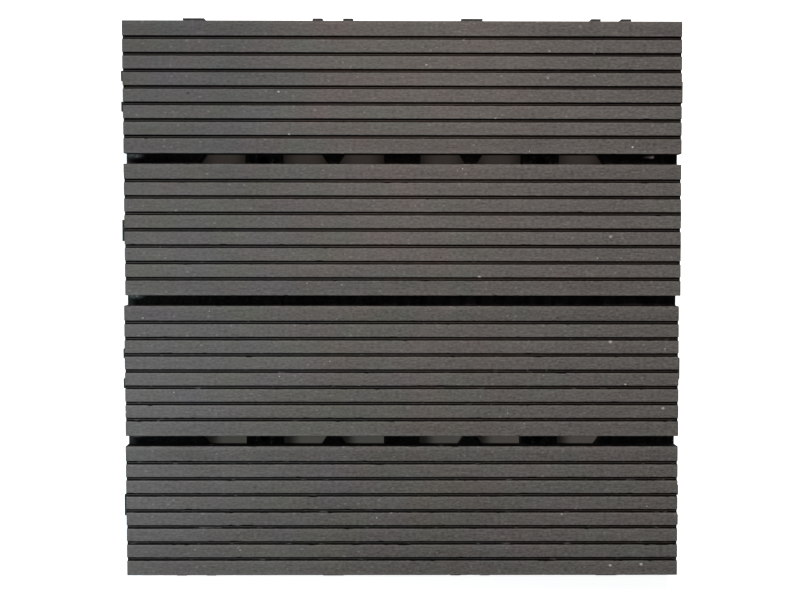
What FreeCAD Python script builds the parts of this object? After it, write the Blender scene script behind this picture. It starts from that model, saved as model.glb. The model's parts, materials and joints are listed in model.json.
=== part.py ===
import FreeCAD, Part

import math
import os

from FreeCAD import Rotation, Vector

# Interlocking deck tile: four grooved wood-plastic slats screwed from below to a moulded grid.
# Millimetres. The origin is the middle of the tile on the ground, X runs along the slats, Z is up.

# Slats: an extruded bar sawn to length, with brushed ridges between square grooves
slat_names = ("slat_back", "slat_mid_back", "slat_mid_front", "slat_front")
slat_slips = (0.1, 0.4, 0.0, 0.2)
slat_length = 300.0
slat_width = 70.8
slat_thickness = 10.0
slat_gap = 5.6
slat_edge_round = 0.8
slat_heel_bevel = 0.4
saw_angle = 0.3

groove_count = 7
groove_pitch = 8.81
groove_width = 2.0
groove_depth = 1.8
groove_lip_bevel = 0.25

# Grid: one injection moulding, square, with the same connectors on all four sides
stations_per_side = 4
station_pitch = 75.5
base_inset = 0.0
base_height = 12.0
base_corner_round = 3.0
foot_height = 3.0
rim_wall = 2.5
main_rib = 5.4
thin_rib = 2.3
channel_width = 15.2
plate_thickness = 2.0
plate_recess = 1.0
gusset_reach = 8.9
gusset_spread = 6.0

# Feet and screw bosses under the grid
foot_width = 9.0
foot_taper = 0.8
drain_bore = 5.0
boss_width = 12.0
boss_bore = 8.2
boss_web = 3.0
boss_hole = 4.0

# Connectors: a flared key, and a pair of prongs that takes the next tile's key from above
key_reach = 2.7
key_root_width = 10.4
key_flare = 0.75
key_tip_bevel = 0.6
prong_width = 5.6
joint_gap = 0.3
key_clearance = 0.12

# Screws: self-tapping, pan head, driven from below
screw_head_width = 7.0
screw_head_height = 2.4
screw_head_bevel = 1.1
screw_width = 3.5
screw_length = 9.5
screw_point = 2.4
pilot_clearance = 0.05
pilot_spare = 0.4

# Feet, bosses and screws repeat by the dozen, so they are drawn with this many sides
small_round_sides = 10

# Sizes that follow
slat_count = len(slat_names)
slat_pitch = slat_width + slat_gap
deck_width = slat_count * slat_width + (slat_count - 1) * slat_gap
tile_height = base_height + slat_thickness
half_x = slat_length / 2 - base_inset
half_y = deck_width / 2 - base_inset
plate_top = base_height - plate_recess
plate_bottom = plate_top - plate_thickness
screw_seat = base_height - boss_web


def bevelled(corners):
    """Points of an outline from its corners (u, v, bevel), cutting each bevel's length off both sides."""
    points = []
    for index, (u, v, bevel) in enumerate(corners):
        if not bevel:
            points.append((u, v))
            continue
        for other in (corners[index - 1], corners[(index + 1) % len(corners)]):
            length = math.hypot(other[0] - u, other[1] - v)
            points.append((u + (other[0] - u) * bevel / length, v + (other[1] - v) * bevel / length))
    return points


def flat_face(points, place):
    """Face within straight sides; place turns each (u, v) into a point in space."""
    corners = [place(u, v) for u, v in points]
    return Part.Face(Part.makePolygon(corners + corners[:1]))


def pad(points, bottom, top):
    """Upright solid on a plan outline."""
    return flat_face(points, lambda x, y: Vector(x, y, bottom)).extrude(Vector(0, 0, top - bottom))


def block(x_faces, y_faces, bottom, top):
    """Upright block between two faces on X and two on Y."""
    size = (x_faces[1] - x_faces[0], y_faces[1] - y_faces[0], top - bottom)
    return Part.makeBox(*size, Vector(x_faces[0], y_faces[0], bottom))


def turned(profile, place):
    """Many-sided turned solid about the upright line through place, from (radius, z) points."""
    rings = []
    for radius, z in profile:
        angles = [(index + 0.5) * 2 * math.pi / small_round_sides for index in range(small_round_sides)]
        rings.append([Vector(radius * math.cos(angle), radius * math.sin(angle), z) for angle in angles])
    faces = []
    for lower, upper in zip(rings, rings[1:]):
        for index in range(small_round_sides):
            after = (index + 1) % small_round_sides
            corners = [lower[index], lower[after], upper[after], upper[index]]
            corners = [point for spot, point in enumerate(corners) if not point.isEqual(corners[spot - 1], 1e-6)]
            faces.append(Part.Face(Part.makePolygon(corners + corners[:1])))
    solid = Part.Solid(Part.Shell(faces)).removeSplitter()
    if solid.Volume < 0:
        solid.reverse()
    solid.translate(Vector(place[0], place[1], 0))
    return solid


def peg(width, bottom, top, place, taper=0.0):
    """Upright peg, its lower end narrower by the taper."""
    return turned([(0, bottom), ((width - taper) / 2, bottom), (width / 2, top), (0, top)], place)


def crossings(columns, rows):
    return [(x, y) for y in rows for x in columns]


# Lines that the pieces share

def main_lines():
    """Middles of the main ribs across one side, which are the stations of the connectors too."""
    return [(index - (stations_per_side - 1) / 2) * station_pitch for index in range(stations_per_side)]


def channel_lines():
    """Middles of the channels between twin thin ribs, halfway between the main ribs."""
    return [(index - (stations_per_side - 2) / 2) * station_pitch for index in range(stations_per_side - 1)]


def screw_places():
    return crossings(main_lines(), main_lines())


# Slats

def slat_middle(row):
    """Middle line of a slat on Y, counted from the back of the tile."""
    return ((slat_count - 1) / 2 - row) * slat_pitch


def slat_section():
    """Corners (y, z, bevel) of a slat's end: flat heel, square grooves, top edges left sharp."""
    half = slat_width / 2
    floor = tile_height - groove_depth
    corners = [(-half, base_height, slat_heel_bevel), (half, base_height, slat_heel_bevel),
               (half, tile_height, 0)]
    for index in reversed(range(groove_count)):
        middle = (index - (groove_count - 1) / 2) * groove_pitch
        for y, z, bevel in ((1, tile_height, groove_lip_bevel), (1, floor, 0),
                            (-1, floor, 0), (-1, tile_height, groove_lip_bevel)):
            corners.append((middle + y * groove_width / 2, z, bevel))
    corners.append((-half, tile_height, 0))
    return corners


def long_top_edges(bar):
    """The two top edges that run the length of a slat, outside its grooves."""
    return [edge for edge in bar.Edges
            if edge.Length > slat_length / 2 and abs(edge.CenterOfMass.z - tile_height) < 1e-6
            and abs(abs(edge.CenterOfMass.y - bar.CenterOfMass.y) - slat_width / 2) < 1e-6]


def make_slat(row):
    """One slat, sawn a little off square, lying where it was screwed down, with its pilot holes."""
    slant = math.tan(math.radians(saw_angle))
    start = slat_slips[row] - slat_length / 2
    end_face = flat_face(bevelled(slat_section()), lambda y, z: Vector(start - y * slant, y, z))
    bar = end_face.extrude(Vector(slat_length, 0, 0))
    bar = bar.makeFillet(slat_edge_round, long_top_edges(bar))
    bar.translate(Vector(0, slat_middle(row), 0))
    pilot_width = screw_width + 2 * pilot_clearance
    pilot_top = screw_seat + screw_length + pilot_spare
    pilots = [peg(pilot_width, base_height, pilot_top, place) for place in screw_places()
              if abs(place[1] - slat_middle(row)) < slat_width / 2]
    return bar.cut(Part.makeCompound(pilots))


# Grid

def edge_line(half):
    """Middle of the thin rib that halves the band between the last main rib and the rim."""
    return (main_lines()[-1] + main_rib / 2 + half - rim_wall) / 2


def rib_faces(half):
    """The ribs across one side as (low face, high face), in order from rim to rim."""
    ribs = [(-half, -half + rim_wall), (half - rim_wall, half)]
    ribs += [(middle - main_rib / 2, middle + main_rib / 2) for middle in main_lines()]
    twin = (channel_width + thin_rib) / 2
    thin = [channel + side * twin for channel in channel_lines() for side in (-1, 1)]
    thin += [side * edge_line(half) for side in (-1, 1)]
    ribs += [(middle - thin_rib / 2, middle + thin_rib / 2) for middle in thin]
    return sorted(ribs)


def cells(half):
    """Spaces between neighbouring ribs: (low face, high face, kind of space)."""
    ribs = rib_faces(half)
    found = []
    for before, after in zip(ribs, ribs[1:]):
        middle = (before[1] + after[0]) / 2
        channels = [line for line in channel_lines() if abs(line - middle) < channel_width / 2]
        kind = "field"
        if abs(middle) > main_lines()[-1]:
            kind = "band"
        elif channels:
            kind = "middle channel" if abs(channels[0]) < station_pitch / 2 else "channel"
        found.append((before[1], after[0], kind))
    return found


def grid_hollows():
    """Open cells, and closed ones, which are hollow from below.

    The band inside the rim is flush on top. Plates close the cross through the middle and the
    channels' crossings a little below the tops of the ribs.
    """
    hollows = []
    for x_low, x_high, x_kind in cells(half_x):
        for y_low, y_high, y_kind in cells(half_y):
            kinds = (x_kind, y_kind)
            in_band = "band" in kinds
            plated = "middle channel" in kinds or kinds == ("channel", "channel")
            core_top = plate_bottom if in_band or plated else base_height
            hollows.append(block((x_low, x_high), (y_low, y_high), foot_height, core_top))
            if plated and not in_band:
                hollows.append(block((x_low, x_high), (y_low, y_high), plate_top, base_height))
    return hollows


def quarter_turned(turns, points):
    """Full-height piece of the grid, drawn for the back side and turned clockwise to another."""
    rotation = Rotation(Vector(0, 0, 1), -90 * turns)
    plan = [rotation.multVec(Vector(along, out, 0)) for along, out in points]
    return pad([(point.x, point.y) for point in plan], foot_height, base_height)


def gussets(turns):
    """Wedges where the main ribs run out through a channel, widest at its outer rib."""
    wedges = []
    for channel in channel_lines():
        if channel > station_pitch / 2:
            outer = channel + channel_width / 2
            inner = outer - gusset_reach
            for main in main_lines():
                narrow = main_rib / 2
                wide = narrow + gusset_spread
                wedges.append(quarter_turned(turns, [(main - narrow, inner), (main - wide, outer),
                                                     (main + wide, outer), (main + narrow, inner)]))
    return wedges


def key(turns, along, side):
    """Flared key: wider at its tip than at its root."""
    root = key_root_width / 2
    tip = root + key_flare
    reach = side + key_reach
    return quarter_turned(turns, bevelled([
        (along - root, side - rim_wall, 0), (along - root, side, 0), (along - tip, reach, key_tip_bevel),
        (along + tip, reach, key_tip_bevel), (along + root, side, 0), (along + root, side - rim_wall, 0)]))


def prong(turns, along, side, hand):
    """Half of a socket. Its inner face lies beside the flank of the key that it takes."""
    inner_tip = key_root_width / 2 + key_flare / key_reach * joint_gap + key_clearance
    inner_root = inner_tip + key_flare
    outer = inner_tip + prong_width
    reach = side + key_reach
    return quarter_turned(turns, bevelled([
        (along + hand * inner_root, side - rim_wall, 0), (along + hand * inner_root, side, 0),
        (along + hand * inner_tip, reach, key_tip_bevel), (along + hand * outer, reach, key_tip_bevel),
        (along + hand * outer, side - rim_wall, 0)]))


def connectors(turns):
    """Keys and sockets in turn along one side, clockwise, so that any two sides of two tiles meet."""
    side = half_x if turns % 2 else half_y
    pieces = []
    for index, along in enumerate(main_lines()):
        if index % 2 == 0:
            pieces.append(key(turns, along, side))
        else:
            pieces.append(prong(turns, along, side, -1))
            pieces.append(prong(turns, along, side, 1))
    return pieces


def foot_places():
    """Under the channels' crossings, and along the thin rib inside the rim."""
    x_edges = (-edge_line(half_x), edge_line(half_x))
    y_edges = (-edge_line(half_y), edge_line(half_y))
    return (crossings(channel_lines(), channel_lines()) + crossings(x_edges, channel_lines())
            + crossings(channel_lines(), y_edges) + crossings(x_edges, y_edges))


def drain_places():
    """The crossings of the outer channels, where a foot is a tube and the plate above it is open."""
    outer = [line for line in channel_lines() if abs(line) > station_pitch / 2]
    return crossings(outer, outer)


def rounded_sheet():
    """The solid that the grid's cells are cut from, with its four upright edges rounded."""
    sheet = block((-half_x, half_x), (-half_y, half_y), foot_height, base_height)
    upright = [edge for edge in sheet.Edges if abs(edge.tangentAt(edge.FirstParameter).z) > 0.5]
    return sheet.makeFillet(base_corner_round, upright)


def make_grid():
    """The moulding: a ribbed square with its connectors, feet, bosses and holes."""
    grid = rounded_sheet().cut(Part.makeCompound(grid_hollows()))
    additions = []
    for turns in range(4):
        additions += gussets(turns) + connectors(turns)
    additions += [peg(foot_width, 0, plate_bottom, place, foot_taper) for place in foot_places()]
    additions += [peg(boss_width, 0, base_height, place) for place in screw_places()]
    holes = [peg(drain_bore, 0, base_height, place) for place in drain_places()]
    holes += [peg(boss_bore, 0, screw_seat, place) for place in screw_places()]
    holes += [peg(boss_hole, 0, base_height, place) for place in screw_places()]
    return grid.fuse(additions).cut(holes).removeSplitter()


# Screws

def make_screw(place):
    """Pan-head screw, head down in its boss, point up in the slat."""
    head = screw_head_width / 2
    shank = screw_width / 2
    tip = screw_seat + screw_length
    head_face = screw_seat - screw_head_height
    return turned([(0, head_face), (head - screw_head_bevel, head_face), (head, head_face + screw_head_bevel),
                   (head, screw_seat), (shank, screw_seat), (shank, tip - screw_point), (0, tip)], place)


def write(name, shape):
    shape.exportStep("parts/" + name + ".step")
    print(name, len(shape.Solids), "solids", round(shape.Volume), "mm3")


os.makedirs("parts", exist_ok=True)
for row, slat_name in enumerate(slat_names):
    write(slat_name, make_slat(row))
write("base_grid", make_grid())
write("screws", Part.makeCompound([make_screw(place) for place in screw_places()]))
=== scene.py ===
import json
import math

import bmesh
import bpy
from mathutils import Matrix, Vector

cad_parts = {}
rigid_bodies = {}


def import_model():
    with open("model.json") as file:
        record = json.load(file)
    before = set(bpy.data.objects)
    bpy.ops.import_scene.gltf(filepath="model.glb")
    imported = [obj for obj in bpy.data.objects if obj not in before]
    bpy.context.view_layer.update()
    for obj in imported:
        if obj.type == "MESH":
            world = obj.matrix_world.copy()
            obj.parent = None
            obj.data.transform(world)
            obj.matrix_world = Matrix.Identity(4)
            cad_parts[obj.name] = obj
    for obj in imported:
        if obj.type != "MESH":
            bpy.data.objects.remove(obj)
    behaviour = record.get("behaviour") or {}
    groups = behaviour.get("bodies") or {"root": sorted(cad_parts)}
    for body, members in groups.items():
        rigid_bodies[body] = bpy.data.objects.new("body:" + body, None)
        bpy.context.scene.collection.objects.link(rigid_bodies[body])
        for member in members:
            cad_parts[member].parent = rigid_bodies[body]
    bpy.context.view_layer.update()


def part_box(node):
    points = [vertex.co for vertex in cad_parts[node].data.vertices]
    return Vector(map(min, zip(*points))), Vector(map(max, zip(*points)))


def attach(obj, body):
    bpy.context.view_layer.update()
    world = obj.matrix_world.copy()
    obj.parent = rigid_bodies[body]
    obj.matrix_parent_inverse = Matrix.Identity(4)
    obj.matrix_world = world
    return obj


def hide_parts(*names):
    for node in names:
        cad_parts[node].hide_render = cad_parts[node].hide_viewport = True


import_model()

# Base grid: one injection moulding of black polypropylene. A square rim, main ribs under the slats'
# screws, twin thin ribs with a channel between them, feet, screw bosses, and keys and sockets outside.
# It is drawn as the mould is cut: solids fused into one, then the cores taken out of it.

mm = 0.001
grid_half = 150 * mm
grid_bottom = 3 * mm
grid_top = 12 * mm
rim_wall = 2.5 * mm
main_rib = 5.4 * mm
thin_rib = 2.3 * mm
station_pitch = 75.5 * mm
channel_width = 15.2 * mm
plate_bottom = 9 * mm
recessed_top = 11 * mm
rib_edge_round = 0.2 * mm
rim_corner = 3 * mm
stations = [(index - 1.5) * station_pitch for index in range(4)]
channels = [(index - 1) * station_pitch for index in range(3)]
band_rib = (stations[-1] + main_rib / 2 + grid_half - rim_wall) / 2
twin_offset = (channel_width + thin_rib) / 2


class Wire:
    """A socket of a node tree. Sums on it add Math nodes, and node() adds a node of any other kind."""

    def __init__(self, tree, socket=None):
        self.tree = tree
        self.socket = socket

    def node(self, kind, settings, inputs, output=0):
        """Adds a node: its settings first, then values or wires to its sockets. Returns one output."""
        made = self.tree.nodes.new(kind)
        for name, value in settings.items():
            setattr(made, name, value)
        for name, value in inputs.items():
            for part in value if isinstance(value, list) else [value]:
                if isinstance(part, Wire):
                    self.tree.links.new(part.socket, made.inputs[name])
                else:
                    made.inputs[name].default_value = part
        return Wire(self.tree, made.outputs[output])

    def other(self, output):
        """Another output of the node that this wire comes from."""
        return Wire(self.tree, self.socket.node.outputs[output])

    def math(self, operation, *values):
        return self.node("ShaderNodeMath", {"operation": operation}, dict(enumerate(values)))

    def absolute(self):
        return self.math("ABSOLUTE", self)

    def fraction(self):
        return self.math("FRACT", self)

    def larger(self, value):
        """This number or the other one, whichever is larger."""
        return self.math("MAXIMUM", self, value)

    def __add__(self, value):
        return self.math("ADD", self, value)

    def __radd__(self, value):
        return self.math("ADD", value, self)

    def __sub__(self, value):
        return self.math("SUBTRACT", self, value)

    def __rsub__(self, value):
        return self.math("SUBTRACT", value, self)

    def __mul__(self, value):
        return self.math("MULTIPLY", self, value)

    def __rmul__(self, value):
        return self.math("MULTIPLY", value, self)

    def __truediv__(self, value):
        return self.math("DIVIDE", self, value)

    def __gt__(self, value):
        return self.math("GREATER_THAN", self, value)

    def __lt__(self, value):
        return self.math("LESS_THAN", self, value)


def split(vector):
    """The three numbers of a vector wire."""
    parts = vector.node("ShaderNodeSeparateXYZ", {}, {"Vector": vector}, "X")
    return parts, parts.other("Y"), parts.other("Z")


def joined(x, y, z):
    """A vector wire from three numbers, at least one of them a wire."""
    wire = next(number for number in (x, y, z) if isinstance(number, Wire))
    return wire.node("ShaderNodeCombineXYZ", {}, {"X": x, "Y": y, "Z": z})


def length(x, y):
    """The length of a flat vector with these two wires as its sides."""
    side = joined(x, y, 0.0)
    return side.node("ShaderNodeVectorMath", {"operation": "LENGTH"}, {0: side}, "Value")


def off_middle(value, pitch):
    """How far a place is from the nearest of a row of middles, at this pitch from 0 on."""
    return ((value / pitch + 0.5).fraction() - 0.5) * pitch


def ramp(value, low, high, bottom=0.0, top=1.0, smooth=True):
    """Runs from bottom to top while the value goes from low to high."""
    return value.node("ShaderNodeMapRange", {"interpolation_type": "SMOOTHSTEP" if smooth else "LINEAR"},
                      {"Value": value, "From Min": low, "From Max": high, "To Min": bottom, "To Max": top})


def grain(place, waves, detail=2.0):
    """Noise from 0 to 1 with this many waves to the metre on X, Y and Z."""
    stretched = place.node("ShaderNodeVectorMath", {"operation": "MULTIPLY"}, {0: place, 1: waves})
    return stretched.node("ShaderNodeTexNoise", {}, {"Vector": stretched, "Scale": 1.0, "Detail": detail})


def blend_colors(share, first, second):
    """The first colour where share is 0, the second where it is 1."""
    return share.node("ShaderNodeMix", {"data_type": "RGBA"}, {0: share, 6: first, 7: second}, 2)


def new_material(name):
    """A material, its main shader, and a wire of object coordinates to start its sums from."""
    material = bpy.data.materials.new(name)
    material.use_nodes = True
    tree = material.node_tree
    shader = tree.nodes["Principled BSDF"]
    return material, shader, Wire(tree).node("ShaderNodeTexCoord", {}, {}, "Object")


def drive(shader, name, wire):
    wire.tree.links.new(wire.socket, shader.inputs[name])


def new_tree(name, inputs):
    """A geometry tree that takes a mesh and named inputs, with a wire for each of them."""
    tree = bpy.data.node_groups.new(name, "GeometryNodeTree")
    tree.interface.new_socket("Geometry", in_out="OUTPUT", socket_type="NodeSocketGeometry")
    tree.interface.new_socket("Geometry", in_out="INPUT", socket_type="NodeSocketGeometry")
    for input_name, kind in inputs.items():
        tree.interface.new_socket(input_name, in_out="INPUT", socket_type="NodeSocket" + kind)
    entry = tree.nodes.new("NodeGroupInput")
    return tree, {socket.name: Wire(tree, socket) for socket in entry.outputs if socket.name}


def end_tree(geometry, finish):
    """Ends a tree in real faces with their material."""
    real = geometry.node("GeometryNodeRealizeInstances", {}, {"Geometry": geometry})
    dressed = real.node("GeometryNodeSetMaterial", {}, {"Geometry": real, "Material": finish})
    output = geometry.tree.nodes.new("NodeGroupOutput")
    geometry.tree.links.new(dressed.socket, output.inputs["Geometry"])


def new_piece(name, mesh):
    piece = bpy.data.objects.new(name, mesh)
    bpy.context.scene.collection.objects.link(piece)
    return piece


def grow(name, tree, start, values):
    """Runs a geometry tree on a starting mesh and keeps the result as a plain mesh."""
    piece = new_piece(name, start)
    maker = piece.modifiers.new("maker", "NODES")
    maker.node_group = tree
    for item in tree.interface.items_tree:
        if item.name in values:
            maker[item.identifier] = values[item.name]
    bpy.context.view_layer.update()
    made = bpy.data.meshes.new_from_object(piece.evaluated_get(bpy.context.evaluated_depsgraph_get()))
    piece.modifiers.remove(maker)
    piece.data = made
    return piece


def soften(mesh, angle=35):
    """Smooth shading that breaks at edges sharper than the angle in degrees, faces pointing outwards."""
    form = bmesh.new()
    form.from_mesh(mesh)
    bmesh.ops.remove_doubles(form, verts=form.verts, dist=1e-7)
    bmesh.ops.recalc_face_normals(form, faces=form.faces)
    for face in form.faces:
        face.smooth = True
    for edge in form.edges:
        edge.smooth = edge.calc_face_angle(math.pi) < math.radians(angle)
    form.to_mesh(mesh)
    form.free()


def prism(form, points, bottom, top, edge_round=0.0):
    """Adds an upright solid on a plan outline to a bmesh, its edges rounded by a radius if one is given."""
    low = [form.verts.new((x, y, bottom)) for x, y in points]
    high = [form.verts.new((x, y, top)) for x, y in points]
    faces = [form.faces.new(low[::-1]), form.faces.new(high)]
    for index, corner in enumerate(low):
        after = (index + 1) % len(low)
        faces.append(form.faces.new([corner, low[after], high[after], high[index]]))
    bmesh.ops.recalc_face_normals(form, faces=faces)
    if edge_round:
        edges = {edge for face in faces for edge in face.edges}
        bmesh.ops.bevel(form, geom=list(edges), offset=edge_round, segments=2, profile=0.6, affect="EDGES")


def rectangle(x_low, x_high, y_low, y_high):
    return [(x_low, y_low), (x_high, y_low), (x_high, y_high), (x_low, y_high)]


def turned(form, profile, place, sides):
    """Adds a closed turned solid about an upright line, from (radius, z) points that start and end at 0."""
    rings = []
    for radius, z in profile[1:-1]:
        angles = [index * 2 * math.pi / sides for index in range(sides)]
        rings.append([form.verts.new((place[0] + radius * math.cos(a), place[1] + radius * math.sin(a), z))
                      for a in angles])
    bottom = form.verts.new((place[0], place[1], profile[0][1]))
    top = form.verts.new((place[0], place[1], profile[-1][1]))
    faces = []
    for index in range(sides):
        after = (index + 1) % sides
        faces.append(form.faces.new([bottom, rings[0][after], rings[0][index]]))
        faces.append(form.faces.new([top, rings[-1][index], rings[-1][after]]))
        for lower, shaded_upper in zip(rings, rings[1:]):
            faces.append(form.faces.new([lower[index], lower[after], shaded_upper[after], shaded_upper[index]]))
    bmesh.ops.recalc_face_normals(form, faces=faces)


def shaped(name, draw):
    """A mesh that a function draws into an empty bmesh."""
    form = bmesh.new()
    draw(form)
    mesh = bpy.data.meshes.new(name)
    form.to_mesh(mesh)
    form.free()
    return mesh


def points_mesh(name, places):
    mesh = bpy.data.meshes.new(name)
    mesh.from_pydata(places, [], [])
    return mesh


# The moulding's ribs: one tree sweeps a rounded rectangle into a rib and sets it on each point.
rib_tree, rib_in = new_tree("ribs", {"Thickness": "Float", "Bottom": "Float", "Top": "Float",
                                     "Length": "Float", "Edge round": "Float", "Turn": "Float",
                                     "Finish": "Material"})
rib_height = rib_in["Top"] - rib_in["Bottom"]
rib_middle = (rib_in["Top"] + rib_in["Bottom"]) * 0.5
rib_outline = rib_height.node("GeometryNodeCurvePrimitiveQuadrilateral", {},
                              {"Width": rib_in["Thickness"], "Height": rib_height})
rib_outline = rib_outline.node("GeometryNodeFilletCurve", {"mode": "POLY"},
                               {"Curve": rib_outline, "Count": 2, "Radius": rib_in["Edge round"]})
rib_start = joined(0.0, rib_in["Length"] * -0.5, rib_middle)
rib_end = joined(0.0, rib_in["Length"] * 0.5, rib_middle)
rib_line = rib_start.node("GeometryNodeCurvePrimitiveLine", {}, {"Start": rib_start, "End": rib_end})
rib_shape = rib_line.node("GeometryNodeCurveToMesh", {},
                          {"Curve": rib_line, "Profile Curve": rib_outline, "Fill Caps": True})
rib_set = rib_shape.node("GeometryNodeInstanceOnPoints", {},
                         {"Points": rib_in["Geometry"], "Instance": rib_shape})
rib_turn = joined(0.0, 0.0, rib_in["Turn"])
rib_set = rib_set.node("GeometryNodeTransform", {}, {"Geometry": rib_set, "Rotation": rib_turn})
end_tree(rib_set, rib_in["Finish"])


def rib_family(name, places, thickness, turn):
    """Parallel ribs across the grid at these places, as one mesh."""
    return grow(name, rib_tree, points_mesh(name, [(place, 0, 0) for place in places]),
                {"Thickness": thickness, "Bottom": grid_bottom, "Top": grid_top,
                 "Length": 2 * grid_half - rim_wall, "Edge round": rib_edge_round, "Turn": turn,
                 "Finish": plastic})


# The rim runs round the same way, on a square path with rounded corners.
rim_tree, rim_in = new_tree("rim", {"Half side": "Float", "Corner": "Float", "Thickness": "Float",
                                    "Bottom": "Float", "Top": "Float", "Edge round": "Float",
                                    "Finish": "Material"})
rim_height = rim_in["Top"] - rim_in["Bottom"]
rim_side = rim_in["Half side"] * 2 - rim_in["Thickness"]
rim_path = rim_side.node("GeometryNodeCurvePrimitiveQuadrilateral", {},
                         {"Width": rim_side, "Height": rim_side})
path_corner = rim_in["Corner"] - rim_in["Thickness"] * 0.5
rim_path = rim_path.node("GeometryNodeFilletCurve", {"mode": "POLY"},
                         {"Curve": rim_path, "Count": 6, "Radius": path_corner})
rim_outline = rim_height.node("GeometryNodeCurvePrimitiveQuadrilateral", {},
                              {"Width": rim_in["Thickness"], "Height": rim_height})
rim_outline = rim_outline.node("GeometryNodeFilletCurve", {"mode": "POLY"},
                               {"Curve": rim_outline, "Count": 2, "Radius": rim_in["Edge round"]})
rim_shape = rim_path.node("GeometryNodeCurveToMesh", {}, {"Curve": rim_path, "Profile Curve": rim_outline})
rim_lift = joined(0.0, 0.0, (rim_in["Top"] + rim_in["Bottom"]) * 0.5)
rim_shape = rim_shape.node("GeometryNodeTransform", {}, {"Geometry": rim_shape, "Translation": rim_lift})
end_tree(rim_shape, rim_in["Finish"])

# Solids of one mesh don't overlap, and those of different meshes do, so that they fuse. Wedges and cores run
# this far past the faces where the real ones end.
lap = 1 * mm
# The bands inside the rim stop this far short of each other, within the main ribs.
band_gap = 0.4 * mm
gusset_reach = 8.9 * mm
gusset_spread = 6.0 * mm
key_reach = 2.7 * mm
key_root = 5.2 * mm
key_flare = 0.75 * mm
key_clearance = 0.12 * mm
joint_gap = 0.3 * mm
socket_tip = key_root + key_flare * joint_gap / key_reach + key_clearance
prong_width = 5.6 * mm
outer_edge_round = 0.35 * mm


def quarter(turns, points):
    """A plan outline turned clockwise from the back to another side."""
    for _ in range(turns):
        points = [(y, -x) for x, y in points]
    return points


def draw_plates(form):
    """The flush band inside the rim, and the first arm of the recessed cross through the middle."""
    inside = grid_half - rim_wall / 2
    last = stations[-1]
    band = rectangle(-inside, last - band_gap, last, inside)
    for turns in range(4):
        prism(form, quarter(turns, band), plate_bottom, grid_top)
    half = twin_offset
    prism(form, rectangle(-half, half, -last, last), plate_bottom, recessed_top)


def draw_cross(form):
    """The second arm of the cross, and the plates where the outer channels cross."""
    half = twin_offset
    prism(form, rectangle(-stations[-1], stations[-1], -half, half), plate_bottom, recessed_top)
    for x in (channels[0], channels[2]):
        for y in (channels[0], channels[2]):
            prism(form, rectangle(x - half, x + half, y - half, y + half), plate_bottom, recessed_top)


def draw_gussets(form):
    """Wedges where the main ribs run out through a channel."""
    outer = channels[2] + channel_width / 2
    inner = outer - gusset_reach
    narrow = main_rib / 2
    wide = narrow + gusset_spread
    for turns in range(4):
        for middle in stations:
            wedge = [(middle - narrow, inner), (middle - wide, outer), (middle - wide, outer + lap),
                     (middle + wide, outer + lap), (middle + wide, outer), (middle + narrow, inner)]
            prism(form, quarter(turns, wedge), grid_bottom, grid_top)


def draw_connectors(form):
    """A flared key and a pair of prongs in turn, clockwise along each side."""
    root = grid_half - rim_wall / 2
    tip = grid_half + key_reach
    for turns in range(4):
        for index, middle in enumerate(stations):
            if index % 2 == 0:
                low = middle - key_root
                high = middle + key_root
                outline = [(low, root), (high, root), (high, grid_half), (high + key_flare, tip),
                           (low - key_flare, tip), (low, grid_half)]
                prism(form, quarter(turns, outline), grid_bottom, grid_top, outer_edge_round)
                continue
            for hand in (-1, 1):
                outer = socket_tip + prong_width
                outline = [(socket_tip + key_flare, root), (outer, root), (outer, tip), (socket_tip, tip),
                           (socket_tip + key_flare, grid_half)]
                placed = [(middle + hand * x, y) for x, y in outline]
                prism(form, quarter(turns, placed), grid_bottom, grid_top, outer_edge_round)


# Feet stand under the channels' crossings and along the thin rib inside the rim, and each screw has a boss.
# The four feet under the outer channels' crossings are tubes, which drain the plates above them.
foot_lines = (-band_rib, *channels, band_rib)
feet = [(x, y) for x in foot_lines for y in foot_lines]
screw_places = [(x, y) for x in stations for y in stations]
drains = [(x, y) for x in (channels[0], channels[2]) for y in (channels[0], channels[2])]
sole_bevel = 0.4 * mm
foot_tip = 4.1 * mm
foot_root = 4.5 * mm
foot_top = 9.5 * mm
boss_radius = 6 * mm
counterbore = 4.1 * mm
counterbore_bevel = 0.3 * mm
screw_seat = 9 * mm
boss_hole = 2 * mm
drain_radius = 2.5 * mm


def draw_feet(form):
    profile = [(0, 0), (foot_tip - sole_bevel, 0), (foot_tip, sole_bevel), (foot_root, foot_top),
               (0, foot_top)]
    for place in feet:
        turned(form, profile, place, sides=32)


def draw_bosses(form):
    profile = [(0, 0), (boss_radius - sole_bevel, 0), (boss_radius, sole_bevel), (boss_radius, grid_top),
               (0, grid_top)]
    for place in screw_places:
        turned(form, profile, place, sides=40)


def draw_cores(form):
    """Counterbores of the screw bosses, and the drain holes. They run past the faces that they cut."""
    below = -lap
    above = grid_top + lap
    bore = [(0, below), (counterbore + counterbore_bevel, below), (counterbore, counterbore_bevel),
            (counterbore, screw_seat), (boss_hole, screw_seat), (boss_hole, above), (0, above)]
    for place in screw_places:
        turned(form, bore, place, sides=32)
    for place in drains:
        turned(form, [(0, below), (drain_radius, below), (drain_radius, above), (0, above)], place, sides=28)


# Black polypropylene: satin, with a faint spark-eroded texture. Its outer faces are greyer; inside the rim it
# is painted darker, as shade, and its upper side blackest, as the shade under and between the slats, with
# some dust. Places are in metres from the middle of the tile, and waves are to the metre.
slat_pitch = 76.4 * mm
rib_black = (0.012, 0.012, 0.0118, 1)
rib_black_pale = (0.02, 0.02, 0.0195, 1)
outer_black = (0.043, 0.0425, 0.0415, 1)
dust_and_glint_color = (0.95, 0.86, 0.81, 1)

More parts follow.
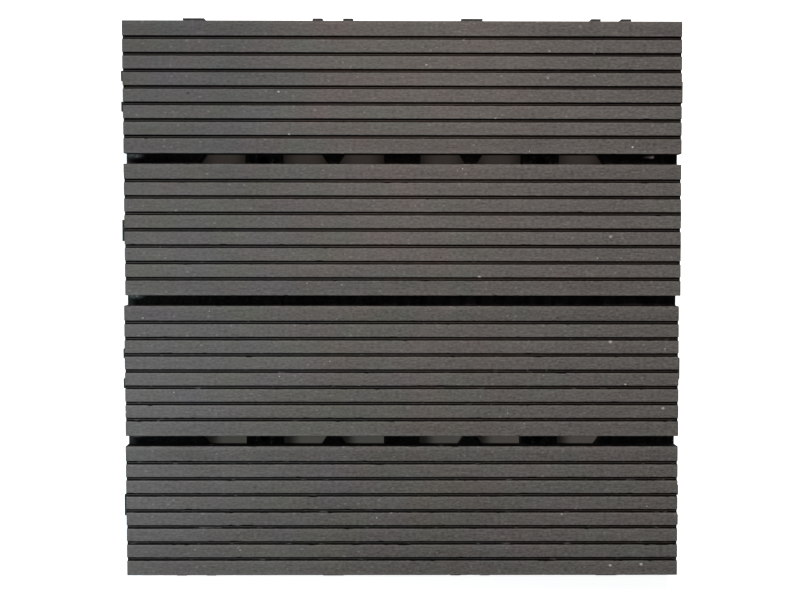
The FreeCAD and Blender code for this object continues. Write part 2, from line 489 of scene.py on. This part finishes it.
plastic, plastic_shader, place = new_material("grid_plastic")
fine = grain(place, (2600, 2600, 2600), detail=3.0)
broad = grain(place, (90, 90, 90), detail=3.0)
along, across, height = split(place)
_, _, up_share = split(place.node("ShaderNodeNewGeometry", {}, {}, "True Normal"))
outside = ramp(along.absolute().larger(across.absolute()), grid_half - 0.6 * mm, grid_half + 0.2 * mm)
shaded_upper = ramp(up_share, -0.8, -0.4) * ramp(height, 8.8 * mm, 9.4 * mm) * (1.0 - outside)

# The plates' black is painted shade, in patches. It is deepest at the front left, palest at the right of the
# middle and front gaps, and a little brown except at the right and in the back gap.
patches = ramp(grain(place, (230, 120, 120), detail=3.0), 0.32, 0.7)
to_right = ramp(along, -0.1, 0.1)
in_back = ramp(across, 0.02, 0.06)
front_left = ramp(across, -0.03, -0.08) * ramp(along, 0.02, -0.08)
plate_shade_tone = 0.0015 + patches * 0.0055
plate_shade_tone = plate_shade_tone * (1.0 + to_right * (1.0 - in_back) * 1.8) * (1.0 - front_left * 0.55)
neutral = to_right.larger(in_back)
plates = plate_shade_tone.node("ShaderNodeCombineColor", {},
                         {"Red": plate_shade_tone, "Green": plate_shade_tone * (0.70 + neutral * 0.22),
                          "Blue": plate_shade_tone * (0.60 + neutral * 0.27)})
# Painted shade: the upper side takes the plates' black, and the rest inside the rim the ribs' black.
black = blend_colors(shaded_upper, blend_colors(broad, rib_black, rib_black_pale), plates)
black = blend_colors(outside, black, outer_black)

# Dust specks and painted glints lie on the upper side: a ring of painted glints round each drain, painted
# light at the left end of each gap, where it is open, and a painted highlight streak at the right end of the
# back one.
end_light_x = -145 * mm
end_light_y = 2.2 * mm
end_light_length = 5.5 * mm
end_light_width = 2.2 * mm
highlight_streak_y = 78 * mm
dust_and_glints = ramp(grain(place, (700, 1100, 700), detail=4.0), 0.45, 0.8)
from_gap = off_middle(across, slat_pitch)
past_end_light = length((along - end_light_x) / end_light_length, (from_gap - end_light_y) / end_light_width)
end_light_and_streak = ramp(past_end_light, 1.1, 0.1) * ramp(across, -0.08, 0.08, 0.14, 0.4) * (0.4 + dust_and_glints * 1.2)
highlight_streak = ramp((across - highlight_streak_y).absolute(), 1.3 * mm, 0.1 * mm)
highlight_streak = highlight_streak * ramp(along, 129.5 * mm, 136.5 * mm) * ramp(along, 138 * mm, 136.8 * mm)
end_light_and_streak = end_light_and_streak + highlight_streak * highlight_streak * (0.4 + dust_and_glints)
from_drain = length(along.absolute() - station_pitch, across.absolute() - station_pitch)
# A ring of painted glints round each drain.
ring = ramp(from_drain, 3.4 * mm, 4.6 * mm) * ramp(from_drain, 6.2 * mm, 5.0 * mm)
left_end_light = ramp(along, end_light_x, end_light_x - 4 * mm)
dust_and_glints = (dust_and_glints * (0.016 + ring * 0.06) + end_light_and_streak + left_end_light * 0.04) * shaded_upper

drive(plastic_shader, "Base Color", blend_colors(dust_and_glints, black, dust_and_glint_color))
drive(plastic_shader, "Roughness", 0.42 + broad * 0.16)
plastic_bump = fine.node("ShaderNodeBump", {}, {"Height": fine, "Strength": 0.25, "Distance": 0.05 * mm})
drive(plastic_shader, "Normal", plastic_bump)
plastic_shader.inputs["Specular IOR Level"].default_value = 0.03

# The mould: the solids fused into one closed shell, then the cores taken out of it.
twins = [channel + side * twin_offset for channel in channels for side in (-1, 1)]
solids = bpy.data.collections.new("mould solids")
cores = bpy.data.collections.new("mould cores")
quarter_turn = math.pi / 2
for turn in (0.0, quarter_turn):
    solids.objects.link(rib_family("main_ribs", stations, main_rib, turn))
    solids.objects.link(rib_family("thin_ribs", twins + [-band_rib, band_rib], thin_rib, turn))
solids.objects.link(grow("rim", rim_tree, points_mesh("rim", []),
                         {"Half side": grid_half, "Corner": rim_corner, "Thickness": rim_wall,
                          "Bottom": grid_bottom, "Top": grid_top, "Edge round": outer_edge_round,
                          "Finish": plastic}))
for name, draw in (("plates", draw_plates), ("cross_plates", draw_cross), ("gussets", draw_gussets),
                   ("connectors", draw_connectors), ("feet", draw_feet), ("bosses", draw_bosses)):
    solids.objects.link(new_piece(name, shaped(name, draw)))
cores.objects.link(new_piece("cores", shaped("cores", draw_cores)))

mould_tree, mould_in = new_tree("mould", {"Solids": "Collection", "Cores": "Collection",
                                          "Finish": "Material"})
inside = mould_in["Solids"].node("GeometryNodeCollectionInfo", {},
                                 {"Collection": mould_in["Solids"], "Separate Children": True})
fused = inside.node("GeometryNodeMeshBoolean", {"operation": "UNION", "solver": "MANIFOLD"},
                    {"Mesh 2": inside})
hollow = fused.node("GeometryNodeCollectionInfo", {},
                    {"Collection": mould_in["Cores"], "Separate Children": True})
moulded = fused.node("GeometryNodeMeshBoolean", {"operation": "DIFFERENCE", "solver": "MANIFOLD"},
                     {"Mesh 1": fused, "Mesh 2": hollow})
end_tree(moulded, mould_in["Finish"])
grid = grow("moulded_grid", mould_tree, bpy.data.meshes.new("moulded_grid"),
            {"Solids": solids, "Cores": cores, "Finish": plastic})
for group in (solids, cores):
    for spare in list(group.objects):
        bpy.data.objects.remove(spare)
    bpy.data.collections.remove(group)
soften(grid.data)
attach(grid, "root")
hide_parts("base_grid")

# Slats: solid bars of extruded wood-plastic composite, sawn to length. The tops are brushed after
# extrusion, which leaves pale ridges with fine lines along them. The grooves' edges are chipped.

slat_nodes = ("slat_back", "slat_mid_back", "slat_mid_front", "slat_front")
slat_length = 300 * mm
slat_half = 35.4 * mm
slat_bottom = 12 * mm
slat_top = 22 * mm
groove_pitch = 8.81 * mm
groove_middles = [(3 - index) * groove_pitch for index in range(7)]
groove_half = 1.0 * mm
groove_depth = 1.8 * mm
floor_corner = 0.15 * mm
heel = 0.4 * mm
chip_depth = 0.45 * mm
# Where noise rises through this range, it bites a chip off an edge or leaves a crumb in a groove.
chip_range = (0.70, 0.80)
# Brushing wears each edge into a low crown: distance from the wall and drop, in millimetres.
groove_lip = ((0.6, 0.0), (0.3, 0.01), (0.12, 0.04), (0.04, 0.1), (0.0, 0.2))
slat_shoulder = ((1.2, 0.0), (0.7, 0.015), (0.4, 0.05), (0.2, 0.11), (0.07, 0.24), (0.0, 0.45))
saw_slant = math.tan(math.radians(0.3))
stations_along = 301


def worn_edge(wall, side, profile):
    """Points (y, z) from the flat top down to a wall, the wall facing the given side."""
    return [(wall - side * out * mm, slat_top - drop * mm) for out, drop in profile]


def slat_section():
    """Points (y, z) round a slat's end, and how each moves where an edge is chipped."""
    points = [(-slat_half + heel, slat_bottom), (slat_half - heel, slat_bottom),
              (slat_half, slat_bottom + heel)]
    chips = [(0, 0)] * 3
    points += worn_edge(slat_half, 1, slat_shoulder)[::-1]
    chips += [(-0.3, 0), (-0.7, -0.5), (-0.4, -0.7), (-0.1, -0.5), (0, -0.1), (0, 0)]
    floor = slat_top - groove_depth
    floor_end = groove_half - floor_corner
    for middle in groove_middles:
        high = middle + groove_half
        low = middle - groove_half
        points += worn_edge(high, -1, groove_lip)
        chips += [(0, 0), (0, -0.2), (0.5, -0.8), (1, -1), (0.6, -0.4)]
        points += [(high, floor + floor_corner), (middle + floor_end, floor), (middle, floor),
                   (middle - floor_end, floor), (low, floor + floor_corner)]
        chips += [(0, 0)] * 5
        points += worn_edge(low, 1, groove_lip)[::-1]
        chips += [(-0.6, -0.4), (-1, -1), (-0.5, -0.8), (0, -0.2), (0, 0)]
    points += worn_edge(-slat_half, -1, slat_shoulder)
    chips += [(0, 0), (0, -0.1), (0.1, -0.5), (0.4, -0.7), (0.7, -0.5), (0.3, 0)]
    points.append((-slat_half, slat_bottom + heel))
    chips.append((0, 0))
    return points, chips


# A slat: the section set at every station along the bar, its edges chipped by noise, its ends closed.
slat_tree, slat_in = new_tree("slat", {"Stations": "Int", "Length": "Float", "Slant": "Float",
                                       "Slip": "Float", "Middle": "Float", "Chip depth": "Float",
                                       "Finish": "Material"})
section = slat_in["Geometry"]
ring_count = section.node("GeometryNodeAttributeDomainSize", {}, {"Geometry": section}, "Point Count")
columns = ring_count + 1.0
sheet = section.node("GeometryNodeMeshGrid", {}, {"Size X": 1.0, "Size Y": 1.0, "Vertices Y": columns,
                                                  "Vertices X": slat_in["Stations"]})
index = section.node("GeometryNodeInputIndex", {}, {})
row = index / columns
row = row.math("FLOOR", row)
spot = index - row * columns
spot = spot.math("MODULO", spot, ring_count)
outline_place = section.node("GeometryNodeInputPosition", {}, {})
chip_way = section.node("GeometryNodeInputNamedAttribute", {"data_type": "FLOAT_VECTOR"}, {"Name": "chip"})


def at_spot(value):
    """A value of the section at the point that a point of the sheet stands for."""
    return section.node("GeometryNodeSampleIndex", {"data_type": "FLOAT_VECTOR", "domain": "POINT"},
                        {"Geometry": section, "Value": value, "Index": spot})


def slat_place(share, outline, chip):
    """Where a point of the section goes, a share of the length along the slat, with its chip taken off."""
    _, across, height = split(outline)
    along = slat_in["Slip"] + (share - 0.5) * slat_in["Length"] - across * slat_in["Slant"]
    across = across + slat_in["Middle"]
    true_place = joined(along, across, height)
    toward_front = ramp(across, 0.13, -0.12, smooth=False)
    bites = ramp(grain(true_place, (170, 700, 200)) + toward_front * 0.1, *chip_range)
    waves = ramp(grain(true_place, (60, 700, 200)), 0.3, 0.8)
    depth = (bites + waves * 0.1) * slat_in["Chip depth"]
    bite = true_place.node("ShaderNodeVectorMath", {"operation": "SCALE"}, {0: chip, "Scale": depth})
    return true_place.node("ShaderNodeVectorMath", {"operation": "ADD"}, {0: true_place, 1: bite})


skin_place = slat_place(row / (slat_in["Stations"] - 1.0), at_spot(outline_place), at_spot(chip_way))
skin = sheet.node("GeometryNodeSetPosition", {}, {"Geometry": sheet, "Position": skin_place})
ends = []
for share in (0.0, 1.0):
    end_place = slat_place(share, outline_place, chip_way)
    ends.append(section.node("GeometryNodeSetPosition", {}, {"Geometry": section, "Position": end_place}))
bar = skin.node("GeometryNodeJoinGeometry", {}, {"Geometry": [skin, *ends]})
bar = bar.node("GeometryNodeMergeByDistance", {}, {"Geometry": bar, "Distance": 0.001 * mm})
end_tree(bar, slat_in["Finish"])

# The composite: wood flour and polymer, dyed dark grey. Brushed ridges; grooves, bottoms and the sides
# between the slats painted near black, as shade, and the outer sides dark grey; sawn ends, and pale flecks,
# dark specks and short fibres through it all.
ridge_color = (0.1095, 0.1012, 0.0950, 1)
groove_shade_color = (0.0025, 0.0022, 0.002, 1)
side_color = (0.028, 0.026, 0.0245, 1)
lit_floor_gray = (0.0505, 0.0462, 0.0423, 1)
lit_floor_brown = (0.06, 0.0462, 0.038, 1)
crumb_color = (0.08, 0.074, 0.069, 1)
fibre_color = (0.22, 0.21, 0.195, 1)
pale_color = (0.32, 0.31, 0.30, 1)
bright_color = (0.62, 0.61, 0.59, 1)
speck_color = (0.02, 0.019, 0.018, 1)

composite, composite_shader, place = new_material("slat_composite")
elsewhere = place.node("ShaderNodeVectorMath", {"operation": "ADD"}, {0: place, 1: (3, 5, 7)})
along, across, height = split(place)
end_share, _, up_share = split(place.node("ShaderNodeNewGeometry", {}, {}, "True Normal"))
from_slat = off_middle(across - slat_pitch / 2, slat_pitch)
off_slat = from_slat.absolute()
from_groove = off_middle(from_slat, groove_pitch)

# Grain: long streaks, short lines, mottle and soft clouds. It is rougher toward the front right. A painted
# spread
# of light lies over the tile: the middle lighter toward the back, the ends lighter toward the front.
streaks = grain(place, (5, 220, 220))
lines = grain(place, (140, 1300, 1300))
mottle = grain(place, (520, 1000, 1000))
clouds = grain(place, (25, 60, 60), detail=3.0)
roughened = 1.03 + along * 1.5 - across * 0.75
painted_light_spread = across * ramp(along.absolute(), 0.02, 0.1, 0.3, -0.28)
painted_light_spread = painted_light_spread + ramp(along, -0.08, -0.15) * ramp(across, 0.02, -0.12, 0.02, 0.09)
tone = (1.0 + (streaks - 0.5) * 0.2 + (clouds - 0.5) * 0.25 + painted_light_spread
        + ((lines - 0.5) * 0.5 + (mottle - 0.5) * 1.2) * roughened)

# Hue: faint patches from pink to green along a diagonal of the tile, and from blue to yellow left of it.
# The colour is warmest halfway along the slats, coolest at the back left and least green at the front left.
hue_waves = (40, 55, 55)
diagonal = along + across * 0.59
off_left = diagonal + 0.09
pink = (grain(place, hue_waves, detail=1.0) - 0.5) * ramp(diagonal.absolute(), 0.13, 0.03, 0.3, 1.0)
blue = (grain(elsewhere, hue_waves, detail=1.0) - 0.5) * ramp(off_left.absolute(), 0.13, 0.03, 0.15, 1.0)
warm = ramp(along.absolute(), 0.09, 0.02) * 0.015
warm = warm - ramp(along, -0.03, -0.1) * ramp(across, 0.05, 0.12) * 0.038
green = ramp(along, -0.06, -0.13) * ramp(across, 0.03, -0.03) * -0.025 - pink * 0.12 - blue * 0.05


def spots(waves, seed, rarity, radius, core):
    """Scattered round spots. Radius gives a spot's size, in waves, from its random number."""
    moved = place.node("ShaderNodeVectorMath", {"operation": "MULTIPLY_ADD"}, {0: place, 1: waves, 2: seed})
    distance = moved.node("ShaderNodeTexVoronoi", {}, {"Vector": moved, "Scale": 1.0}, "Distance")
    chance, size, _ = split(distance.other("Color"))
    return (chance > rarity) * ramp(distance, radius(size), core)


pale_flecks = spots((260, 380, 380), (0, 0, 0), 0.7, lambda size: 0.14 + size * 0.2, 0.04)
bright_flecks = spots((110, 140, 140), (7.3, 2.1, 5.5), 0.6,
                      lambda size: 0.045 + size * size * size * 0.12, 0.02)
dark_specks = spots((60, 75, 75), (1.7, 9.4, 3.2), 0.7, lambda size: 0.035 + size * 0.05, 0.02)
fibres = spots((85, 700, 700), (4.1, 6.6, 0.9), 0.7, lambda size: 0.30, 0.1)

# The brush reaches less than half a millimetre down the edges, and further on the front slat.
brush_place = height + (mottle - 0.5) * (0.1 * mm) + ramp(across, -0.05, -0.1) * (0.14 * mm)
brushed = ramp(brush_place, slat_top - 0.42 * mm, slat_top - 0.15 * mm)
# A narrow line along each groove's floor is painted paler, as the light that reaches it past the lips; crumbs
# lie in the grooves, most of them in front.
lit_floor_line = ramp((from_groove + 0.1 * mm).absolute(), 0.38 * mm, 0.12 * mm) * ramp(along, 0.02, 0.1, 1.0, 0.5)
lit_floor_line = lit_floor_line * (ramp(across, 0.0, 0.14, 1.0, 0.8)
                 + ramp(across, 0.0, -0.1) * ramp(along, -0.14, -0.05) * 0.65)
lit_floor_color = blend_colors(ramp(diagonal, -0.06, 0.03), lit_floor_gray, lit_floor_brown)
crumbs = ramp(grain(elsewhere, (150, 600, 600)) + ramp(across, 0.1, -0.14) * 0.1, *chip_range)
# The lips of the grooves and the slats' shoulders are painted paler, as highlights where they turn toward the
# light, most of all on the front half. The ridge at each slat's back edge is painted darker, as shade, and on
# the two slats behind the one at its front edge too.
off_lips = (from_groove + 0.25 * mm).absolute()
edge_highlight = ramp(off_lips, 1.8 * mm, 1.2 * mm) * 0.7 + ramp(off_lips, 4.2 * mm, 1.2 * mm) * 0.25
edge_highlight = edge_highlight.larger(ramp(off_slat, slat_half - 1.0 * mm, slat_half - 0.3 * mm) * 0.35) * brushed
front_lip_highlight = ramp(across, 0.01, -0.05) * ramp(from_groove, 0.0, -0.5 * mm)
edge_ridge_shade = ramp(off_slat, 26.5 * mm, 28 * mm) * (from_slat > 0.0).larger(ramp(across, -0.08, -0.03))
# The saw leaves upright marks on the ends.
sawn = ramp(end_share.absolute(), 0.8, 0.95)
saw_marks = grain(place, (1, 1100, 70), detail=3.0)

# Painted shade: all but the outer sides take the near-black of the grooves.
color = blend_colors(ramp(across.absolute(), 0.1492, 0.1498), groove_shade_color, side_color)
# Painted light along the groove floors.
color = blend_colors(ramp(up_share, 0.6, 0.95) * lit_floor_line, color, lit_floor_color)
color = blend_colors(crumbs * ramp(up_share, -0.2, 0.3) * 0.8, color, crumb_color)
color = blend_colors(brushed.larger(sawn * 0.7), color, ridge_color)
# Painted highlights on the lips and shoulders, and painted shade on the ridges by the slats' edges.
tone = tone + edge_highlight * (0.14 + front_lip_highlight * 0.09) - edge_ridge_shade * 0.09 + sawn * (saw_marks - 0.5) * 0.7
tone_color = tone.node("ShaderNodeCombineColor", {},
                       {"Red": tone + warm + pink * 0.24, "Green": tone + green,
                        "Blue": tone - warm + blue * 0.27})
color = tone.node("ShaderNodeMix", {"data_type": "RGBA", "blend_type": "MULTIPLY"},
                  {0: 1.0, 6: color, 7: tone_color}, 2)
color = blend_colors(fibres * brushed * 0.22, color, fibre_color)
color = blend_colors(pale_flecks * brushed * 0.33, color, pale_color)
color = blend_colors(bright_flecks * 0.85 * (0.25 + brushed * 0.75), color, bright_color)
color = blend_colors(dark_specks * 0.6, color, speck_color)
drive(composite_shader, "Base Color", color)
drive(composite_shader, "Roughness", 0.72 + brushed * 0.1 + (mottle - 0.5) * 0.2)
relief = lines * 0.5 + mottle * 0.5
composite_bump = relief.node("ShaderNodeBump", {},
                             {"Height": relief, "Strength": 0.35, "Distance": 0.08 * mm})
drive(composite_shader, "Normal", composite_bump)
composite_shader.inputs["Specular IOR Level"].default_value = 0.04

section_points, section_chips = slat_section()
for node_name in slat_nodes:
    low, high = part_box(node_name)
    ring = bpy.data.meshes.new(node_name)
    ring.from_pydata([(0, y, z) for y, z in section_points], [], [list(range(len(section_points)))])
    chip = ring.attributes.new("chip", "FLOAT_VECTOR", "POINT")
    for item, (y, z) in zip(chip.data, section_chips):
        item.vector = (0, y, z)
    slat = grow("composite_" + node_name, slat_tree, ring,
                {"Stations": stations_along, "Length": slat_length, "Slant": saw_slant,
                 "Slip": (low[0] + high[0]) / 2, "Middle": (low[1] + high[1]) / 2, "Chip depth": chip_depth,
                 "Finish": composite})
    soften(slat.data)
    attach(slat, "root")
    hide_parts(node_name)

# Screws: sixteen stainless self-tapping screws with pan heads, driven up through the bosses into the
# slats, so that no fastener shows on the deck. Turned and rolled: head, cross recess, shank and thread.

screw_head_bottom = 6.6 * mm
screw_tip = 18.5 * mm
head_radius = 3.5 * mm
# The underside of the pan head: radius and height over its lowest face, in millimetres.
head_pan = ((0.0, 0.0), (1.6, 0.0), (2.6, 0.35), (3.25, 1.0), (3.5, 1.7))
recess_slot = 0.9 * mm
recess_reach = 1.7 * mm
recess_depth = 1.3 * mm
shank_radius = 1.35 * mm
point_length = 2.4 * mm
thread_radius = 1.43 * mm
thread_ridge = 0.32 * mm
thread_pitch = 1.3 * mm
thread_start = 9.9 * mm
thread_height = 5.8 * mm
steel_dull = (0.44, 0.44, 0.43, 1)
steel_bright = (0.62, 0.62, 0.60, 1)

steel, steel_shader, place = new_material("screw_steel")
steel_shader.inputs["Metallic"].default_value = 1.0
marks = grain(place, (1500, 1500, 4000), detail=3.0)
drive(steel_shader, "Base Color", blend_colors(marks, steel_dull, steel_bright))
drive(steel_shader, "Roughness", 0.25 + marks * 0.2)


def draw_screw(form):
    profile = [(radius * mm, screw_head_bottom + rise * mm) for radius, rise in head_pan]
    profile += [(head_radius, screw_seat), (shank_radius, screw_seat),
                (shank_radius, screw_tip - point_length), (0.15 * mm, screw_tip - 0.1 * mm), (0, screw_tip)]
    turned(form, profile, (0, 0), sides=24)


def draw_recess(form):
    """The driver's cross, drawn an arm at a time."""
    half = recess_slot / 2
    arm = [(half, half), (half, recess_reach), (-half, recess_reach)]
    cross = [point for turns in (0, 3, 2, 1) for point in quarter(turns, arm)]
    prism(form, cross, screw_head_bottom - lap, screw_head_bottom + recess_depth)


screw_tree, screw_in = new_tree("screws", {"Recess": "Object", "Pitch": "Float", "Thread radius": "Float",
                                           "Thread start": "Float", "Thread height": "Float",
                                           "Finish": "Material"})
thread_rise = joined(0.0, 0.0, screw_in["Thread start"])
windings = screw_in["Thread height"] / thread_pitch
thread_line = windings.node("GeometryNodeCurveSpiral", {},
                            {"Resolution": 14, "Rotations": windings,
                             "Start Radius": screw_in["Thread radius"],
                             "End Radius": screw_in["Thread radius"], "Height": screw_in["Thread height"]})
thread_edge = windings.node("GeometryNodeCurvePrimitiveCircle", {}, {"Resolution": 3, "Radius": thread_ridge})
thread = thread_line.node("GeometryNodeCurveToMesh", {},
                          {"Curve": thread_line, "Profile Curve": thread_edge, "Fill Caps": True})
thread = thread.node("GeometryNodeTransform", {}, {"Geometry": thread, "Translation": thread_rise})
recess = screw_in["Recess"].node("GeometryNodeObjectInfo", {}, {"Object": screw_in["Recess"]}, "Geometry")
one_screw = thread.node("GeometryNodeMeshBoolean", {"operation": "UNION", "solver": "MANIFOLD"},
                        {"Mesh 2": [screw_in["Geometry"], thread]})
one_screw = one_screw.node("GeometryNodeMeshBoolean", {"operation": "DIFFERENCE", "solver": "MANIFOLD"},
                           {"Mesh 1": one_screw, "Mesh 2": recess})
spread = screw_in["Pitch"] * (len(stations) - 1.0)
screw_points = spread.node("GeometryNodeMeshGrid", {},
                           {"Size X": spread, "Size Y": spread, "Vertices X": len(stations),
                            "Vertices Y": len(stations)})
all_screws = screw_points.node("GeometryNodeInstanceOnPoints", {},
                               {"Points": screw_points, "Instance": one_screw})
end_tree(all_screws, screw_in["Finish"])
recess_piece = new_piece("recess", shaped("recess", draw_recess))
screws = grow("pan_head_screws", screw_tree, shaped("screw", draw_screw),
              {"Recess": recess_piece, "Pitch": station_pitch, "Thread radius": thread_radius,
               "Thread start": thread_start, "Thread height": thread_height, "Finish": steel})
bpy.data.objects.remove(recess_piece)
soften(screws.data)
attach(screws, "root")
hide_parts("screws")

# Studio: a pale floor under soft light from above, the camera straight over the tile. The floor shows white
# beside the tile; under it the floor is painted dark, as the tile's shade, and between the slats it glows
# with painted light.

shade_edge = 149 * mm
shade_fade = 3 * mm
plate_half = twin_offset + thin_rib / 2
floor_paint_shaded = (0.02, 0.02, 0.02, 1)
floor_paint_open = (0.86, 0.86, 0.86, 1)
floor_glow_open = (0.88, 0.88, 0.88, 1)
floor_glow_back = (0.0321, 0.0265, 0.0231, 1)
floor_glow_front = (0.056, 0.055, 0.0492, 1)
floor_glow_front_right = (0.063, 0.055, 0.0492, 1)

floor_paint, floor_shader, place = new_material("floor")
along, across, _ = split(place)
beside = ramp(along.absolute().larger(across.absolute()), shade_edge - shade_fade, shade_edge + shade_fade)
# Painted shade: the floor under the tile is dark.
drive(floor_shader, "Base Color", blend_colors(beside, floor_paint_shaded, floor_paint_open))
# Painted light: where the gaps show it, the floor glows as if light came down the gaps from the left, with
# painted shadows of each rib and plate to its right. The back gap gets less of it, from both sides. Behind
# the back gap and before the front one the floor is painted dark.
# This share of it strays over the whole of an open cell.
stray = 0.17
from_plate = off_middle(along, station_pitch)
right_cell = from_plate > plate_half
left_cell = from_plate < -plate_half


def lit(dark, bright):
    """Painted light that grows from one place to another, both in millimetres to the right of a plate's
    middle.
    """
    return ramp(from_plate, dark * mm, bright * mm)


front = (lit(12.2, 20.5) * right_cell + lit(-31.4, -23.5) * left_cell) * (1.0 - stray)
front = (front + (right_cell + left_cell) * stray) * ramp(along, -0.1, -0.05, 0.88, 1.0)
back = lit(4, 20) * lit(41, 25) * right_cell + lit(-41, -25) * lit(-4, -20) * left_cell
toward_back = ramp(across, -0.03, 0.03)
painted_daylight = front + (back - front) * toward_back
# The floor is painted dark behind the back gap and before the front one.
painted_daylight = painted_daylight * ramp(across, 79.9 * mm, 79.2 * mm) * ramp(across, -81.1 * mm, -80.4 * mm)
painted_glow = blend_colors(ramp(along, 0.0, 0.1), floor_glow_front, floor_glow_front_right)
painted_glow = blend_colors(toward_back, painted_glow, floor_glow_back)
painted_glow = blend_colors(painted_daylight, (0.0, 0.0, 0.0, 1), painted_glow)
floor_shader.inputs["Roughness"].default_value = 0.9
floor_shader.inputs["Specular IOR Level"].default_value = 0.1


def seen_rays(wire):
    """Two switches: on for rays from the camera, off mirrors or through glass, and for those off mirrors."""
    rays = wire.node("ShaderNodeLightPath", {}, {}, "Is Camera Ray")
    mirrored = rays.other("Is Glossy Ray")
    return rays.larger(mirrored).larger(rays.other("Is Transmission Ray")), mirrored


seen, _ = seen_rays(place)
drive(floor_shader, "Emission Color", blend_colors(beside, painted_glow, floor_glow_open))
drive(floor_shader, "Emission Strength", seen)


def draw_floor(form):
    bmesh.ops.create_grid(form, x_segments=1, y_segments=1, size=3.0)


floor = new_piece("floor", shaped("floor", draw_floor))
floor.data.materials.append(floor_paint)

# The world is white where it is seen, and gives little light. Mirrored rays find a dark ceiling in it, so
# that the deck keeps its colour from above.
world_light = 0.1
ceiling_dark = 0.9
world = bpy.data.worlds.new("studio")
bpy.context.scene.world = world
world.use_nodes = True
sky = world.node_tree.nodes["Background"]
seen, mirrored = seen_rays(Wire(world.node_tree))
_, _, upward = split(seen.node("ShaderNodeTexCoord", {}, {}, "Generated"))
ceiling = ramp(upward, 0.75, 0.95) * mirrored
drive(sky, "Strength", (seen * (1.0 - world_light) + world_light) * (1.0 - ceiling * ceiling_dark))
sky.inputs["Color"].default_value = (1, 1, 1, 1)


def softbox(name, place, side, watts, color):
    """A square lamp that faces the middle of the tile."""
    light = bpy.data.lights.new(name, "AREA")
    light.shape = "SQUARE"
    light.size = side
    light.energy = watts
    light.color = color
    lamp = bpy.data.objects.new(name, light)
    bpy.context.scene.collection.objects.link(lamp)
    lamp.location = place
    lamp.rotation_euler = (-Vector(place)).to_track_quat("-Z", "Y").to_euler()
    lamp.visible_camera = False


softbox("key", place=(0.1, 0.55, 1.0), side=0.15, watts=9.56, color=(1.0, 0.993, 0.964))
softbox("warm_fill", place=(0.05, 0.1, 0.2), side=0.15, watts=0.1, color=(1.0, 0.72, 0.70))
softbox("cool_fill", place=(-0.2, -0.05, 0.2), side=0.2, watts=0.285, color=(0.62, 0.90, 1.0))

# The camera's place, tilt and lens are fitted to the slats' edges and grooves in the photograph.
camera = bpy.data.objects.new("camera", bpy.data.cameras.new("camera"))
bpy.context.scene.collection.objects.link(camera)
camera.location = (-0.0072, 0.0374, 0.762)
camera.rotation_euler = (-0.04991, -0.00801, 0.00127)
camera.data.sensor_width = 36
camera.data.lens = 61.72
bpy.context.scene.camera = camera
bpy.context.scene.view_settings.view_transform = "Standard"
